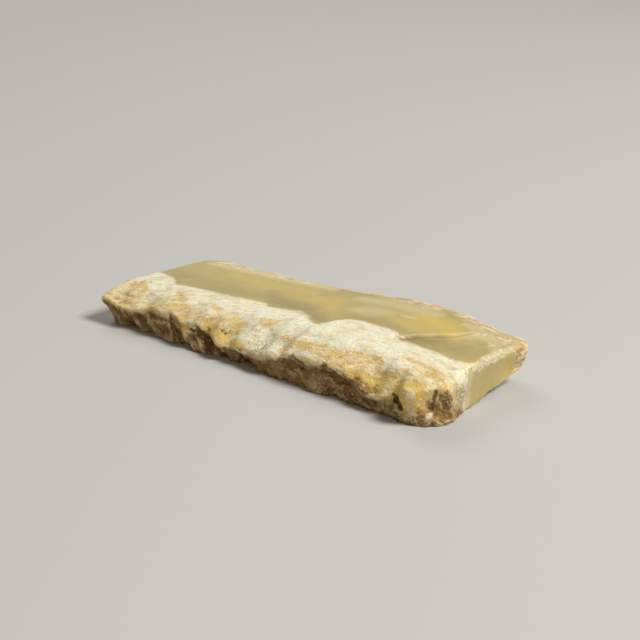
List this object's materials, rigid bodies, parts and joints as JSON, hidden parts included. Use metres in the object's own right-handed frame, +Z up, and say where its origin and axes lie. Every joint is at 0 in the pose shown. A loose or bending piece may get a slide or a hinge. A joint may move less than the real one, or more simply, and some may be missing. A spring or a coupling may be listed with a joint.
{
  "type": "hokkaidoite slice",
  "caption": "Flat sawn slice of banded opal-like stone: a glassy honey band, a chalky white fibrous band, a rough tan broken wall and a chipped end.",
  "frame": {"origin": "middle of the footprint, on the flat sawn underside", "axes": "+X along the slice from the pointed end to the broken end, +Y across it from the rough near wall to the thin far rind, +Z up out of the sawn top"},
  "size_m": [0.0756, 0.0322, 0.0079],
  "materials": {
    "banded_opal": "glassy band with a soft gloss, chalky white band and rough tan wall"
  },
  "bodies": {
    "root": {"opal_slice": "banded_opal"}
  },
  "joints": []
}
